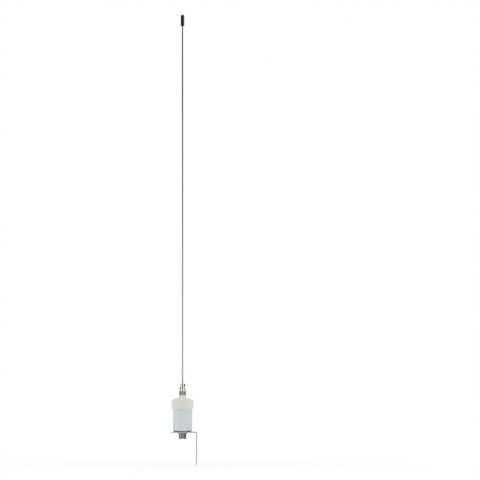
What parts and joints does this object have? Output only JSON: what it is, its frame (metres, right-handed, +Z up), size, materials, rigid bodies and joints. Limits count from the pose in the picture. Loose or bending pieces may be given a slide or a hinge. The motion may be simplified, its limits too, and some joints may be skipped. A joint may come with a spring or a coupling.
{
  "type": "marine vhf antenna",
  "caption": "Marine VHF whip antenna: stainless whip with a soft tip, plated ferrule and sealed matching coil, on an angle bracket with a threaded coaxial socket below.",
  "frame": {"origin": "middle of the bracket's bolt holes, on the outer face of its leg", "axes": "+Z up along the whip, +X out of the leg's outer face towards what it is bolted to, +Y away from the picture's viewpoint"},
  "size_m": [0.0544, 0.046, 0.9551],
  "materials": {
    "tip_vinyl": "satin black vinyl",
    "whip_steel": "ground stainless steel",
    "ferrule_nickel": "polished nickel on brass",
    "screw_steel": "blackened steel",
    "stud_brass": "turned brass",
    "tag_tinned": "tinned brass",
    "seal_rubber": "moulded rubber",
    "cap_plastic": "fine moulded, warm white",
    "housing_plastic": "fine moulded, cool white",
    "form_plastic": "natural nylon",
    "coil_copper": "bare copper wire",
    "connector_nickel": "nickel on brass",
    "insulator_plastic": "white fluoropolymer",
    "contact_silver": "silver on brass",
    "gasket_rubber": "dark grey rubber",
    "bracket_steel": "brushed stainless sheet",
    "nut_nickel": "dulled nickel on brass"
  },
  "bodies": {
    "root": {"tip_cap": "tip_vinyl", "whip": "whip_steel", "whip_ferrule": "ferrule_nickel", "set_screws": "screw_steel", "top_stud": "stud_brass", "stud_tag": "tag_tinned", "stud_seal": "seal_rubber", "coil_cap": "cap_plastic", "cap_seal": "seal_rubber", "coil_housing": "housing_plastic", "coil_form": "form_plastic", "matching_coil": "coil_copper", "feed_wire": "coil_copper", "ground_tag": "tag_tinned", "connector_seal": "seal_rubber", "connector_body": "connector_nickel", "connector_insulator": "insulator_plastic", "centre_contact": "contact_silver", "base_gasket": "gasket_rubber", "mounting_bracket": "bracket_steel", "lock_washer": "nut_nickel", "jam_nut": "nut_nickel"}
  },
  "joints": []
}
